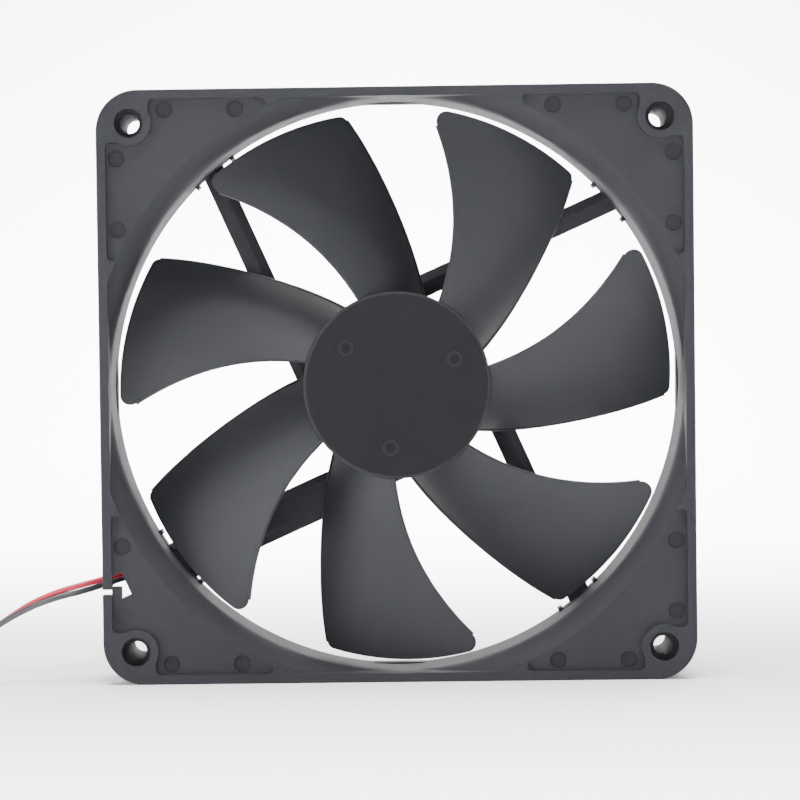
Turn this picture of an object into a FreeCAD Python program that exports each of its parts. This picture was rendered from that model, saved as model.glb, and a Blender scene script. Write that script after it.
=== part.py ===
import FreeCAD, Part
import math
import os
import re
import Sketcher

# Axial fan for a computer case: 140 mm square, 25 mm deep, two leads, seven blades.
# Frame: the fan stands on its bottom edge, Z up, its front (the air inlet) towards -Y,
# and the origin is under the middle of the frame. Lengths are in millimetres.
#
# Pieces of the fan are drawn about a local z axis, which is the fan's own axis: local x is to the
# right and local y is up when the front is looked at, and local z points out of the front. The
# middle of the frame's depth is local z = 0. fan_placement() then stands each piece up.

DIMENSIONS = [
    ("frame_width", 140.0, "outer width and height of the frame"),
    ("frame_depth", 25.0, "front face to rear face"),
    ("corner_radius", 9.7, "outer corners of the frame"),
    ("flange_thickness", 4.0, "front and rear flanges"),
    ("border_width", 2.2, "raised border round the front face"),
    ("recess_depth", 1.0, "corner recesses of the front face"),
    ("recess_arm_end", 30.0, "end of a recess, from the middle of a side"),
    ("recess_chord", 64.6, "inner edge of a recess at its ends"),
    ("recess_fillet", 1.2, "corners of the recess outline"),
    ("hole_spacing", 124.5, "screw holes, centre to centre"),
    ("hole_radius", 2.3, "screw hole bore"),
    ("counterbore_radius", 3.4, "front end of a screw hole"),
    ("counterbore_depth", 3.5, "front end of a screw hole"),
    ("boss_radius", 5.0, "corner column"),
    ("boss_face_radius", 5.3, "front face round a screw hole"),
    ("boss_arm", 4.6, "front face from a screw hole out to the border"),
    ("throat_radius", 67.9, "inside of the ring"),
    ("ring_outer_radius", 69.8, "outside of the ring between the flanges"),
    ("crest_radius", 72.1, "front edge of the bell mouth"),
    ("flare_depth", 8.0, "bell mouth, from the front face"),
    ("edge_rounding", 0.4, "outer edges of both flanges"),
    ("land_length", 13.0, "flat land at the rear of each side"),
    ("land_offset", 67.55, "flat land, from the fan axis"),
    ("mark_radius", 1.9, "ejector marks"),
    ("mark_depth", 0.35, "ejector marks"),
    ("mark_near", 37.3, "ejector mark near the middle of a side"),
    ("mark_far", 53.9, "ejector mark near a corner"),
    ("mark_side", 65.3, "ejector marks, from the fan axis to their row"),
    ("strut_angle", 24.0, "direction of the first strut"),
    ("strut_inner", 16.1, "near edge of a strut, from the fan axis"),
    ("strut_outer", 21.6, "far edge of a strut, from the fan axis"),
    ("strut_end", 67.2, "end of a strut inside the ring wall"),
    ("strut_shoulder", 2.2, "height of a strut's side"),
    ("strut_ridge", 4.0, "height of a strut's ridge"),
    ("cable_strut_inner", 12.35, "near edge of the strut that carries the leads"),
    ("cable_strut_outer", 22.3, "far edge of the strut that carries the leads"),
    ("channel_inner", 13.4, "near wall of the lead channel"),
    ("channel_outer", 18.2, "far wall of the lead channel"),
    ("channel_depth", 2.7, "lead channel, from the rear face"),
    ("root_pad_radius", 67.75, "thickened ring wall beside a strut"),
    ("root_pad_start", 10.9, "thickened wall, first edge from the strut's direction"),
    ("root_pad_end", 21.1, "thickened wall, last edge from the strut's direction"),
    ("root_pad_height", 5.0, "thickened wall, from the rear face"),
    ("cable_pad_start", 7.0, "thickened wall beside the strut that carries the leads, first edge"),
    ("root_tooth_radius", 67.05, "tooth at each end of a thickened wall"),
    ("root_tooth_width", 1.0, "tooth at each end of a thickened wall, in degrees"),
    ("root_tooth_height", 5.0, "tooth at each end of a thickened wall, from the rear face"),
    ("base_radius", 22.0, "motor base"),
    ("base_thickness", 2.7, "motor base"),
    ("base_rim_inner", 20.4, "rim of the motor base"),
    ("base_rim_height", 4.0, "rim of the motor base, from the rear face"),
    ("base_boss_radius", 6.8, "boss round the bearing tube"),
    ("base_boss_height", 4.2, "boss round the bearing tube, from the rear face"),
    ("label_recess_radius", 16.5, "recess for the label"),
    ("label_recess_depth", 0.3, "recess for the label"),
    ("label_radius", 16.0, "label"),
    ("label_thickness", 0.15, "label"),
    ("window_outer", 18.7, "lead window, far edge from the fan axis"),
    ("window_inner", 12.95, "lead window, near edge from the fan axis"),
    ("window_end", 77.5, "lead window, end nearest the fan axis"),
    ("slot_start", 66.8, "rear lead slot, end inside the ring"),
    ("slot_outer", 19.9, "rear lead slot, far edge from the fan axis"),
    ("slot_inner", 12.6, "rear lead slot, near edge from the fan axis"),
    ("lead_in_start", 63.0, "deeper end of the lead channel"),
    ("lead_in_depth", 3.3, "deeper end of the lead channel, from the rear face"),
    ("slot_depth", 4.2, "rear lead slot, from the rear face"),
    ("gap_top", 47.4, "slit in the border, below the fan axis"),
    ("gap_bottom", 48.8, "slit in the border, below the fan axis"),
    ("tab_top", 46.85, "retaining tab, below the fan axis"),
    ("tab_bottom", 50.4, "retaining tab, below the fan axis"),
    ("tab_outer", 67.85, "retaining tab, left of the fan axis"),
    ("tab_inner", 65.6, "retaining tab, left of the fan axis"),
    ("hub_radius", 22.05, "impeller hub"),
    ("hub_inner_radius", 20.6, "inside of the hub"),
    ("hub_face", 11.5, "front of the hub"),
    ("hub_wall", 1.5, "front wall of the hub"),
    ("hub_rim", -7.5, "rear rim of the hub"),
    ("hub_rounding", 0.9, "front edge of the hub"),
    ("hub_boss_radius", 3.2, "boss that holds the shaft"),
    ("hub_boss_end", 6.9, "rear end of the boss that holds the shaft"),
    ("hub_mark_distance", 14.85, "ring marks on the hub"),
    ("hub_mark_outer", 1.9, "ring marks on the hub"),
    ("hub_mark_inner", 1.2, "ring marks on the hub"),
    ("hub_mark_dot", 0.3, "centre of a ring mark"),
    ("hub_mark_depth", 0.2, "ring marks on the hub"),
    ("hub_mark_angle", 23.7, "first ring mark"),
    ("blade_count", 7.0, "blades"),
    ("blade_angle", 3.5, "direction of the first blade's stacking line"),
    ("blade_tip_radius", 65.7, "blade tips"),
    ("blade_root_thickness", 2.2, "blade at the hub, along the axis"),
    ("blade_tip_thickness", 1.35, "blade at the tip, along the axis"),
    ("blade_trail", -6.8, "trailing edge, along the axis"),
    ("blade_bow", 1.55, "radius of the blade's bow over its chord"),
    ("lead_corner_radius", 2.4, "rounded front corner of a blade tip"),
    ("lead_corner_first", 23.7, "rounded front corner, direction of its end on the tip"),
    ("lead_corner_last", 148.1, "rounded front corner, direction of its end on the edge"),
    ("trail_corner_radius", 2.0, "rounded rear corner of a blade tip"),
    ("trail_corner_first", -71.3, "rounded rear corner, direction of its end on the edge"),
    ("trail_corner_last", -4.7, "rounded rear corner, direction of its end on the tip"),
    ("yoke_radius", 20.55, "steel yoke"),
    ("yoke_inner_radius", 19.55, "steel yoke"),
    ("yoke_front", 9.95, "steel yoke"),
    ("yoke_wall", 1.0, "steel yoke"),
    ("yoke_rim", -6.9, "steel yoke"),
    ("yoke_hole_radius", 3.3, "steel yoke"),
    ("magnet_radius", 19.5, "magnet ring"),
    ("magnet_inner_radius", 17.9, "magnet ring"),
    ("magnet_front", 5.4, "magnet ring"),
    ("magnet_rear", -6.6, "magnet ring"),
    ("shaft_radius", 1.5, "shaft"),
    ("shaft_front", 9.9, "front end of the shaft"),
    ("shaft_rear", -11.9, "rear end of the shaft"),
    ("clip_groove_radius", 1.2, "groove for the retaining clip"),
    ("clip_front", -11.15, "groove for the retaining clip"),
    ("clip_rear", -11.55, "groove for the retaining clip"),
    ("clip_radius", 2.7, "retaining clip"),
    ("clip_bore", 1.24, "retaining clip"),
    ("tube_radius", 5.2, "bearing tube"),
    ("tube_step_radius", 3.6, "bearing tube between the bearings"),
    ("tube_front", 5.7, "bearing tube"),
    ("tube_rear", -12.0, "bearing tube"),
    ("bearing_radius", 4.0, "outside of a ball bearing"),
    ("bearing_width", 3.0, "ball bearing"),
    ("front_bearing_level", 4.2, "middle of the front bearing"),
    ("rear_bearing_level", -9.6, "middle of the rear bearing"),
    ("inner_race_radius", 2.35, "shoulder of an inner race"),
    ("outer_race_radius", 3.35, "shoulder of an outer race"),
    ("ball_count", 7.0, "balls in a bearing"),
    ("ball_radius", 0.7, "balls"),
    ("ball_pitch_radius", 2.85, "balls"),
    ("race_groove_radius", 0.74, "groove that the balls run in"),
    ("cage_inner_radius", 2.6, "ball cage"),
    ("cage_outer_radius", 3.1, "ball cage"),
    ("cage_width", 1.9, "ball cage"),
    ("cage_pocket_radius", 0.76, "ball cage"),
    ("shield_inner_radius", 2.45, "bearing shield"),
    ("shield_level", 1.35, "bearing shield, from the bearing's middle"),
    ("shield_thickness", 0.15, "bearing shield"),
    ("spring_radius", 1.93, "preload spring"),
    ("spring_wire_radius", 0.14, "preload spring"),
    ("spring_front", 6.7, "preload spring, last coil"),
    ("spring_rear", 5.9, "preload spring, first coil"),
    ("core_front", 4.5, "stator laminations"),
    ("core_rear", -2.5, "stator laminations"),
    ("core_radius", 17.4, "stator laminations"),
    ("core_shoe_radius", 15.4, "inside of the pole shoes"),
    ("core_hub_radius", 7.6, "stator laminations round the bearing tube"),
    ("core_bore", 5.25, "stator laminations"),
    ("neck_width", 3.6, "pole neck"),
    ("pole_gap", 3.0, "gap between pole shoes"),
    ("insulator_thickness", 0.7, "insulator plate"),
    ("insulator_height", 2.4, "insulator with its end walls"),
    ("insulator_wall", 0.6, "end walls of an insulator"),
    ("insulator_neck", 4.6, "insulator on a pole neck"),
    ("coil_start", 8.7, "winding, from the fan axis"),
    ("coil_length", 5.5, "winding, along the pole neck"),
    ("coil_half_width", 4.1, "winding"),
    ("coil_inner_half_width", 2.35, "winding"),
    ("coil_front", 6.8, "winding"),
    ("coil_rear", -4.8, "winding"),
    ("coil_inner_front", 5.25, "winding"),
    ("coil_inner_rear", -3.25, "winding"),
    ("coil_rounding", 1.2, "winding"),
    ("board_front", -6.6, "circuit board"),
    ("board_rear", -7.6, "circuit board"),
    ("board_radius", 16.2, "circuit board"),
    ("board_bore", 5.6, "circuit board"),
    ("chip_height", 1.3, "driver chip"),
    ("pin_radius", 0.35, "terminal pins"),
    ("pin_distance", 7.6, "terminal pins"),
    ("pin_front", -2.9, "terminal pins"),
    ("pin_rear", -8.1, "terminal pins"),
    ("lead_radius", 0.7, "insulated lead"),
    ("coil_mean_outer", 10.0, "lead coil, centre line of the outer turn"),
    ("coil_mean_inner", 5.4, "lead coil, centre line of the inner turn"),
    ("lead_coil_x", -125.0, "lead coil"),
    ("lead_coil_y", 2.5, "lead coil"),
    ("lead_coil_bottom", 0.3, "lead coil"),
    ("tie_width", 2.5, "tie round the lead coil"),
    ("tie_thickness", 0.3, "tie round the lead coil"),
    ("plug_length", 12.0, "connector"),
    ("plug_width", 7.5, "connector"),
    ("plug_height", 5.8, "connector"),
    ("plug_x", -111.0, "connector, end where the leads go in"),
    ("plug_y", 12.5, "connector"),
    ("contact_pitch", 2.5, "connector contacts"),
    ("contact_width", 1.1, "connector contacts"),
    ("cavity_width", 1.7, "connector cavities"),
]

# One blade is lofted through sections square to its stacking line. For each section: its distance
# from the fan axis, then where the leading edge is across and along the axis, and the trailing edge
# across. Across is counted the way the fan turns.
BLADE_SECTIONS = [
    (16.5, 1.15, 10.4, -11.9),
    (27.0, 4.15, 9.5, -12.65),
    (38.0, 9.56, 8.4, -12.15),
    (49.0, 18.63, 7.2, -10.75),
    (58.0, 30.35, 6.0, -8.9),
    (66.0, 49.4, 4.3, -6.4),
]

# Route of each lead inside the fan, in the struts' own directions (see SPIDER below), from the
# circuit board along the cable strut to the side of the frame.
RED_INNER_ROUTE = [
    (-7.6, -12.4, -8.35), (-11.2, -14.2, -8.75), (-15.4, -14.6, -10.4), (-20.5, -14.7, -10.75),
    (-29.5, -14.5, -10.7), (-38.5, -14.7, -10.75), (-47.5, -14.5, -10.75), (-56.5, -14.65, -10.7),
    (-65.3, -14.5, -10.75), (-69.8, -14.4, -9.3), (-72.9, -14.25, -6.0), (-75.3, -14.1, -2.5),
    (-77.72, -13.85, 1.1), (-81.4, -13.18, 2.5),
]
BLACK_INNER_ROUTE = [
    (-6.0, -13.8, -8.35), (-10.2, -16.2, -8.8), (-14.8, -16.5, -10.4), (-20.5, -16.7, -10.75),
    (-29.5, -16.9, -10.7), (-38.5, -16.7, -10.75), (-47.5, -16.9, -10.75), (-56.5, -16.75, -10.7),
    (-65.3, -16.7, -10.8), (-70.0, -16.3, -9.6), (-73.2, -15.8, -6.9), (-76.0, -15.3, -3.8),
    (-78.49, -14.89, -0.75), (-81.95, -14.42, 1.2),
]

# Free run of each lead, in the fan's row frame: from the side of the frame down to the coil.
RED_FREE_ROUTE = [
    (-75.2, -4.9, 23.35), (-81.2, -6.0, 21.85), (-87.8, -6.4, 19.05), (-94.1, -6.4, 15.0),
    (-99.8, -6.4, 10.6), (-105.2, -6.6, 6.4), (-110.8, -7.0, 2.9), (-116.4, -7.4, 1.2),
]
BLACK_FREE_ROUTE = [
    (-75.2, -4.8, 21.7), (-81.3, -7.2, 20.55), (-87.9, -7.8, 18.2), (-94.2, -8.0, 14.85),
    (-99.9, -8.1, 11.1), (-105.4, -8.1, 8.0), (-110.9, -7.9, 5.6), (-116.4, -7.6, 4.2),
]

doc = FreeCAD.newDocument("case_fan")
sheet = doc.addObject("Spreadsheet::Sheet", "Dims")
for row, (alias, value, meaning) in enumerate(DIMENSIONS, start=1):
    sheet.set(f"A{row}", alias)
    sheet.set(f"B{row}", str(value))
    sheet.set(f"C{row}", meaning)
    sheet.setAlias(f"B{row}", alias)
doc.recompute()
ALIASES = {alias for alias, _, _ in DIMENSIONS}
nodes = []


# ---------------------------------------------------------------- expressions and placements
def cells(text):
    """Turn plain names of dimensions into references to the sheet."""
    return re.sub(r"[a-z_]+", lambda word: f"Dims.{word[0]}" if word[0] in ALIASES else word[0], text)


def value_of(text):
    """Number that an expression of dimensions gives."""
    return float(sheet.evalExpression(cells(text)))


def fan_placement(turn=0.0):
    """Stand a piece drawn about the local z axis up on the fan's axis, its front towards -Y."""
    upright = FreeCAD.Rotation(FreeCAD.Vector(1, 0, 0), 90)
    about_axis = FreeCAD.Rotation(FreeCAD.Vector(0, 0, 1), turn)
    height = FreeCAD.Vector(0, 0, value_of("frame_width / 2"))
    return FreeCAD.Placement(height, upright.multiply(about_axis))


def keep(feature, label, placement=None):
    """Name a sub-part, which becomes the node of that name."""
    feature.Label = label
    if placement is not None:
        feature.Placement = placement
    nodes.append(feature)
    return feature


# ---------------------------------------------------------------- sketches and features
def new_body(name):
    return doc.addObject("PartDesign::Body", name)


def origin_feature(body, role):
    return next(item for item in body.Origin.OriginFeatures if item.Role == role)


def new_sketch(body, name, plane="XY_Plane", offset="0"):
    """Empty sketch on one of the body's own planes, moved along the plane's normal."""
    sketch = body.newObject("Sketcher::SketchObject", name)
    sketch.AttachmentSupport = [(origin_feature(body, plane), "")]
    sketch.MapMode = "FlatFace"
    sketch.setExpression("AttachmentOffset.Base.z", cells(offset))
    return sketch


def bind(sketch, constraint, expression):
    index = sketch.addConstraint(constraint)
    sketch.setExpression(f"Constraints[{index}]", cells(expression))


def fix_point(sketch, geometry, point, x, y):
    """Hold a point of the sketch at a place given by two expressions."""
    bind(sketch, Sketcher.Constraint("DistanceX", -1, 1, geometry, point, value_of(x)), x)
    bind(sketch, Sketcher.Constraint("DistanceY", -1, 1, geometry, point, value_of(y)), y)


def add_outline(sketch, corners, arcs=None):
    """Closed outline through corners given as pairs of expressions.

    arcs maps the number of a corner to the radius and the side of the arc that runs from that corner
    to the next one: a positive side bows to the left of the way there.
    """
    arcs = arcs or {}
    places = [FreeCAD.Vector(value_of(x), value_of(y), 0) for x, y in corners]
    count = len(places)
    starts = []
    for number, start in enumerate(places):
        end = places[(number + 1) % count]
        if number not in arcs:
            starts.append((sketch.addGeometry(Part.LineSegment(start, end)), 1, 2))
            continue
        radius, side = arcs[number]
        along = end - start
        left = FreeCAD.Vector(-along.y, along.x, 0).normalize()
        reach = math.sqrt(max(value_of(radius) ** 2 - along.Length ** 2 / 4, 0))
        rise = value_of(radius) - reach
        middle = start + along / 2 + left * rise * side
        arc = Part.Arc(start, middle, end)
        index = sketch.addGeometry(arc)
        first, last = (1, 2) if side < 0 else (2, 1)
        starts.append((index, first, last))
    for number, (index, first, last) in enumerate(starts):
        after, after_first, _ = starts[(number + 1) % count]
        sketch.addConstraint(Sketcher.Constraint("Coincident", index, last, after, after_first))
        fix_point(sketch, index, first, *corners[number])
        if number in arcs:
            radius = arcs[number][0]
            bind(sketch, Sketcher.Constraint("Radius", index, value_of(radius)), radius)


def add_rectangle(sketch, x_low, x_high, y_low, y_high):
    add_outline(sketch, [(x_low, y_low), (x_high, y_low), (x_high, y_high), (x_low, y_high)])


def add_circle(sketch, radius, x="0", y="0"):
    centre = FreeCAD.Vector(value_of(x), value_of(y), 0)
    circle = Part.Circle(centre, FreeCAD.Vector(0, 0, 1), value_of(radius))
    index = sketch.addGeometry(circle)
    bind(sketch, Sketcher.Constraint("Radius", index, value_of(radius)), radius)
    fix_point(sketch, index, 3, x, y)


def volume(body):
    doc.recompute()
    return body.Shape.Volume


def pad(body, sketch, length):
    feature = body.newObject("PartDesign::Pad", f"{sketch.Name}_pad")
    feature.Profile = sketch
    feature.setExpression("Length", cells(length))
    body.Tip = feature
    return feature


def pocket(body, sketch, depth=None, reverse=False):
    """Cut a sketch into the body, below its plane unless reversed, and check that it cuts."""
    before = volume(body)
    feature = body.newObject("PartDesign::Pocket", f"{sketch.Name}_pocket")
    feature.Profile = sketch
    feature.Reversed = reverse
    if depth is None:
        feature.Type = "ThroughAll"
        feature.Midplane = True
    else:
        feature.setExpression("Length", cells(depth))
    body.Tip = feature
    if volume(body) >= before:
        raise ValueError(f"{feature.Name} cuts nothing")
    return feature


def groove(body, sketch):
    """Cut a profile turned about the fan axis, and check that it cuts."""
    before = volume(body)
    feature = body.newObject("PartDesign::Groove", f"{sketch.Name}_groove")
    feature.Profile = sketch
    feature.ReferenceAxis = (sketch, ["V_Axis"])
    feature.Angle = 360
    body.Tip = feature
    if volume(body) >= before:
        raise ValueError(f"{feature.Name} cuts nothing")
    return feature


def polar_pattern(body, features, count):
    feature = body.newObject("PartDesign::PolarPattern", f"{features[0].Name}_pattern")
    feature.Originals = features
    feature.Axis = (origin_feature(body, "Z_Axis"), [""])
    feature.Angle = 360
    feature.Occurrences = int(value_of(count))
    body.Tip = feature
    doc.recompute()
    return feature


def fillet(body, chosen, radius):
    """Round the edges of the body that a test picks."""
    doc.recompute()
    base = body.Tip
    names = [f"Edge{number}" for number, edge in enumerate(base.Shape.Edges, start=1) if chosen(edge)]
    feature = body.newObject("PartDesign::Fillet", f"{base.Name}_fillet")
    feature.Base = (base, names)
    feature.setExpression("Radius", cells(radius))
    body.Tip = feature
    doc.recompute()
    return feature


def along_axis(edge):
    """True for a straight edge parallel to the local z axis."""
    if not isinstance(edge.Curve, Part.Line):
        return False
    return abs(abs(edge.Curve.Direction.z) - 1) < 1e-6


def revolved(name, profile, arcs=None):
    """Body turned about the fan axis from a closed profile of radius and level."""
    body = new_body(name)
    sketch = new_sketch(body, f"{name}_profile", "XZ_Plane")
    add_outline(sketch, profile, arcs)
    feature = body.newObject("PartDesign::Revolution", f"{name}_turned")
    feature.Profile = sketch
    feature.ReferenceAxis = (sketch, ["V_Axis"])
    feature.Angle = 360
    body.Tip = feature
    doc.recompute()
    return body


def ring_profile(inner, outer, low, high):
    return [(inner, low), (outer, low), (outer, high), (inner, high)]


def box(name, x_low, x_high, y_low, y_high, z_low, z_high):
    """Part::Box between limits given as expressions."""
    feature = doc.addObject("Part::Box", name)
    feature.setExpression("Length", cells(f"({x_high}) - ({x_low})"))
    feature.setExpression("Width", cells(f"({y_high}) - ({y_low})"))
    feature.setExpression("Height", cells(f"({z_high}) - ({z_low})"))
    feature.setExpression("Placement.Base.x", cells(x_low))
    feature.setExpression("Placement.Base.y", cells(y_low))
    feature.setExpression("Placement.Base.z", cells(z_low))
    return feature


def cylinder(name, radius, x, y, z_low, z_high):
    feature = doc.addObject("Part::Cylinder", name)
    feature.setExpression("Radius", cells(radius))
    feature.setExpression("Height", cells(f"({z_high}) - ({z_low})"))
    feature.setExpression("Placement.Base.x", cells(x))
    feature.setExpression("Placement.Base.y", cells(y))
    feature.setExpression("Placement.Base.z", cells(z_low))
    return feature


def combined(kind, name, base, tool):
    """Part::Cut, Part::Common or Part::Fuse of two objects."""
    feature = doc.addObject(kind, name)
    feature.Base = base
    feature.Tool = tool
    return feature


def united(name, shapes):
    feature = doc.addObject("Part::MultiFuse", name)
    feature.Shapes = shapes
    return feature


# ---------------------------------------------------------------- frame housing
REAR = "-frame_depth / 2"
FRONT = "frame_depth / 2"
HOLE = "hole_spacing / 2"
INNER_BORDER = "frame_width / 2 - border_width"


def frame_blank():
    """Square frame: two flanges, ring, corner columns, recesses and screw holes."""
    body = new_body("frame_blank")
    half = "frame_width / 2"
    square = new_sketch(body, "frame_square", offset=REAR)
    add_rectangle(square, f"-{half}", half, f"-{half}", half)
    pad(body, square, "frame_depth")
    fillet(body, along_axis, "corner_radius")

    recess = new_sketch(body, "recess", offset=FRONT)
    side, arm = INNER_BORDER, f"{HOLE} - boss_arm"
    bulge = f"{HOLE} + sqrt(boss_face_radius^2 - boss_arm^2)"
    add_outline(recess, [
        ("recess_arm_end", side), ("recess_arm_end", "recess_chord"), ("recess_chord", "recess_arm_end"),
        (side, "recess_arm_end"), (side, arm), (bulge, arm), (arm, bulge), (arm, side),
    ], arcs={5: ("boss_face_radius", 1)})
    recess_cut = pocket(body, recess, "recess_depth")
    polar_pattern(body, [recess_cut], "4")
    fillet(body, is_recess_corner, "recess_fillet")

    marks = new_sketch(body, "ejector_marks", offset=f"{FRONT} - recess_depth")
    for x, y in (("mark_near", "mark_side"), ("mark_far", "mark_side"),
                 ("mark_side", "mark_far"), ("mark_side", "mark_near")):
        add_circle(marks, "mark_radius", x, y)
    marks_cut = pocket(body, marks, "mark_depth")
    polar_pattern(body, [marks_cut], "4")

    throat = new_sketch(body, "throat")
    add_circle(throat, "throat_radius")
    pocket(body, throat)

    channel = new_sketch(body, "side_channel", offset=f"{FRONT} - flange_thickness")
    add_rectangle(channel, "-frame_width", "frame_width", "-frame_width", "frame_width")
    add_circle(channel, "ring_outer_radius")
    for x, y in corners(HOLE):
        add_circle(channel, "boss_radius", x, y)
    pocket(body, channel, "frame_depth - 2 * flange_thickness")

    holes = new_sketch(body, "screw_holes")
    counterbores = new_sketch(body, "counterbores", offset=FRONT)
    for x, y in corners(HOLE):
        add_circle(holes, "hole_radius", x, y)
        add_circle(counterbores, "counterbore_radius", x, y)
    pocket(body, holes)
    pocket(body, counterbores, "counterbore_depth")
    fillet(body, is_outer_edge, "edge_rounding")
    return body


def corners(distance):
    """The four places at this distance both across and up."""
    return [(f"{right}({distance})", f"{up}({distance})") for right in ("", "-") for up in ("", "-")]


def is_recess_corner(edge):
    """Upright corners of the recess outline, apart from those under the bell mouth."""
    if not along_axis(edge) or abs(edge.Length - value_of("recess_depth")) > 1e-6:
        return False
    place = edge.Vertexes[0].Point
    return max(abs(place.x), abs(place.y)) > value_of(INNER_BORDER) - 0.01


def is_outer_edge(edge):
    """Edges of the front and rear faces along the outside of the frame."""
    box_of_edge = edge.BoundBox
    flat = box_of_edge.ZLength < 1e-6
    on_face = abs(abs(box_of_edge.ZMin) - value_of("frame_depth / 2")) < 1e-6
    corner_reach = value_of("frame_width / 2 - corner_radius") * math.sqrt(2) + value_of("corner_radius")
    middle = edge.valueAt((edge.FirstParameter + edge.LastParameter) / 2)
    on_side = abs(max(abs(middle.x), abs(middle.y)) - value_of("frame_width / 2")) < 1e-6
    on_corner = abs(math.hypot(middle.x, middle.y) - corner_reach) < 1e-3
    return flat and on_face and (on_side or on_corner)


def flare_cut():
    """Bell mouth: a turned flare that stops at the straight inner edge of the border."""
    rise = "(crest_radius - throat_radius)"
    drop = "(flare_depth - recess_depth)"
    curve = f"({rise}^2 + {drop}^2) / (2 * {rise})"
    low, crest, high = f"{FRONT} - flare_depth", f"{FRONT} - recess_depth", f"{FRONT} + 1"
    flare = revolved("flare", [
        ("throat_radius", low), ("crest_radius", crest), ("crest_radius", high),
        ("throat_radius - 5", high), ("throat_radius - 5", low),
    ], arcs={0: (curve, 1)})
    side = f"({INNER_BORDER})"
    square = box("flare_limit", f"-{side}", side, f"-{side}", side, low, high)
    return combined("Part::Common", "flare_cut", flare, square)


# SPIDER: the motor base and its four struts. They are drawn with the first strut along x and then
# turned by strut_angle. The cable strut is the one along -x.
def spider():
    body = new_body("spider")
    disc = new_sketch(body, "base_disc", offset=REAR)
    add_circle(disc, "base_radius")
    pad(body, disc, "base_thickness")
    rim = new_sketch(body, "base_rim", offset=REAR)
    add_circle(rim, "base_radius")
    add_circle(rim, "base_rim_inner")
    pad(body, rim, "base_rim_height")
    boss = new_sketch(body, "base_boss", offset=REAR)
    add_circle(boss, "base_boss_radius")
    pad(body, boss, "base_boss_height")

    strut = new_sketch(body, "strut", "YZ_Plane", "2")
    middle = "(strut_inner + strut_outer) / 2"
    add_outline(strut, [
        ("strut_inner", REAR), ("strut_outer", REAR), ("strut_outer", f"{REAR} + strut_shoulder"),
        (f"{middle} + 0.6", f"{REAR} + strut_ridge"), (f"{middle} - 0.6", f"{REAR} + strut_ridge"),
        ("strut_inner", f"{REAR} + strut_shoulder"),
    ])
    strut_pad = pad(body, strut, "strut_end - 2")
    polar_pattern(body, [strut_pad], "4")

    wide = new_sketch(body, "cable_strut", "YZ_Plane", "-strut_end")
    add_outline(wide, [
        ("-cable_strut_outer", REAR), ("-cable_strut_inner", REAR),
        ("-cable_strut_inner", f"{REAR} + strut_shoulder + 0.4"),
        ("-cable_strut_inner - 1.4", f"{REAR} + strut_ridge"),
        ("-cable_strut_outer + 3.6", f"{REAR} + strut_ridge"),
        ("-cable_strut_outer", f"{REAR} + strut_shoulder"),
    ])
    pad(body, wide, "strut_end - 18")

    root = new_sketch(body, "root_pads", offset=REAR)
    add_sector(root, "root_pad_radius", "ring_outer_radius - 0.6", "root_pad_start", "root_pad_end")
    root_pad = pad(body, root, "root_pad_height")
    cable_pad = new_sketch(body, "cable_pad", offset=REAR)
    add_sector(cable_pad, "root_pad_radius", "ring_outer_radius - 0.6", "180 + cable_pad_start",
               "181 + root_pad_start")
    pad(body, cable_pad, "root_pad_height")
    cable_tooth = new_sketch(body, "cable_tooth", offset=REAR)
    add_sector(cable_tooth, "root_tooth_radius", "ring_outer_radius - 0.6", "180 + cable_pad_start",
               "180 + cable_pad_start + root_tooth_width")
    pad(body, cable_tooth, "root_tooth_height")
    teeth = new_sketch(body, "root_teeth", offset=REAR)
    for first, last in (("root_pad_start", "root_pad_start + root_tooth_width"),
                        ("root_pad_end - root_tooth_width", "root_pad_end")):
        add_sector(teeth, "root_tooth_radius", "ring_outer_radius - 0.6", first, last)
    tooth_pad = pad(body, teeth, "root_tooth_height")
    polar_pattern(body, [root_pad, tooth_pad], "4")

    label = new_sketch(body, "label_recess", offset=REAR)
    add_circle(label, "label_recess_radius")
    pocket(body, label, "label_recess_depth", reverse=True)
    bore = new_sketch(body, "tube_bore")
    add_circle(bore, "tube_radius")
    pocket(body, bore)
    channel = new_sketch(body, "lead_channel", offset=REAR)
    add_rectangle(channel, "-strut_end - 1", "-10.4", "-channel_outer", "-channel_inner")
    pocket(body, channel, "channel_depth", reverse=True)
    notch = new_sketch(body, "rim_notch", offset=REAR)
    add_rectangle(notch, "-17.5", "-10.4", "-channel_outer", "-channel_inner")
    pocket(body, notch, "base_boss_height", reverse=True)
    hook = new_sketch(body, "channel_hooks", offset=REAR)
    for start in ("-30", "-52"):
        add_rectangle(hook, start, f"{start} + 3.5", "-channel_outer - 0.5", "-channel_inner - 2.0")
    pad(body, hook, "0.6")
    body.Placement.Rotation = FreeCAD.Rotation(FreeCAD.Vector(0, 0, 1), value_of("strut_angle"))
    body.setExpression("Placement.Rotation.Angle", cells("strut_angle"))
    return body


def add_sector(sketch, inner, outer, first, last):
    """Part of a ring between two angles."""
    def place(radius, angle):
        return (f"({radius}) * cos({angle})", f"({radius}) * sin({angle})")
    add_outline(sketch, [place(inner, last), place(inner, first), place(outer, first), place(outer, last)],
                arcs={0: (inner, 1), 2: (outer, -1)})


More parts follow.
